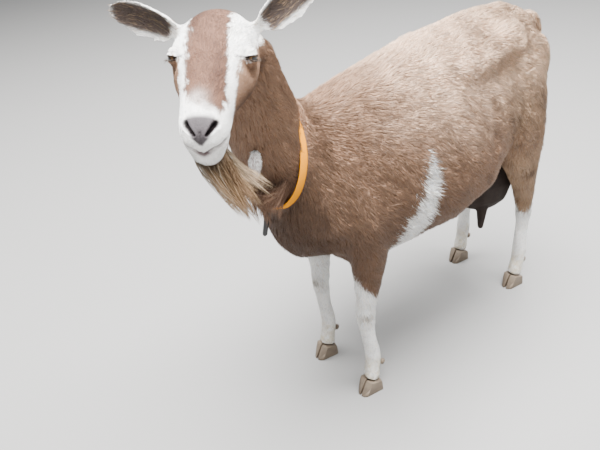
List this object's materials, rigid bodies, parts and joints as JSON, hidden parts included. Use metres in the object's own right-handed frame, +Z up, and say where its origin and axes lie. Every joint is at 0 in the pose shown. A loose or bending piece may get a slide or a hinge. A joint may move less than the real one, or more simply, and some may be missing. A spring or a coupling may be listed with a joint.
{
  "type": "goat",
  "caption": "Life-size standing dairy goat doe without horns, head turned to her left, with beard, throat wattles, udder and a plain flat collar.",
  "frame": {"origin": "on the ground under the middle of the whole animal's bounding box", "axes": "+Z up, the body faces -Y (tail towards +Y), her left side is +X"},
  "size_m": [0.445, 1.139, 0.961],
  "materials": {
    "brown_coat": "short and medium fawn hair over the skin, dull",
    "white_coat": "short white hair over the skin, dull",
    "tan_hair": "long tan hair of the beard, dull",
    "dark_skin": "bare dark skin of the udder, slightly soft sheen",
    "horn": "horny wall of the claws, satin",
    "eye": "wet amber eyeball, clear and glossy",
    "webbing": "smooth coated yellow-orange webbing, satin",
    "black_metal": "black coated ring and snap hook"
  },
  "bodies": {
    "root": {"beard": "tan_hair", "claw_fore_left_inner": "horn", "claw_fore_left_outer": "horn", "claw_fore_right_inner": "horn", "claw_fore_right_outer": "horn", "claw_hind_left_inner": "horn", "claw_hind_left_outer": "horn", "claw_hind_right_inner": "horn", "claw_hind_right_outer": "horn", "collar": "webbing", "collar_clip": "black_metal", "dewclaw_fore_left_inner": "horn", "dewclaw_fore_left_outer": "horn", "dewclaw_fore_right_inner": "horn", "dewclaw_fore_right_outer": "horn", "dewclaw_hind_left_inner": "horn", "dewclaw_hind_left_outer": "horn", "dewclaw_hind_right_inner": "horn", "dewclaw_hind_right_outer": "horn", "ear_left": "white_coat", "ear_right": "white_coat", "eye_left": "eye", "eye_right": "eye", "foreleg_lower_left": "white_coat", "foreleg_lower_right": "white_coat", "foreleg_upper_left": "brown_coat", "foreleg_upper_right": "brown_coat", "head": "brown_coat", "hind_leg_lower_left": "white_coat", "hind_leg_lower_right": "white_coat", "hind_leg_upper_left": "brown_coat", "hind_leg_upper_right": "brown_coat", "neck": "brown_coat", "tail": "brown_coat", "trunk": "brown_coat", "udder": "dark_skin", "wattle_left": "white_coat", "wattle_right": "white_coat"}
  },
  "joints": []
}
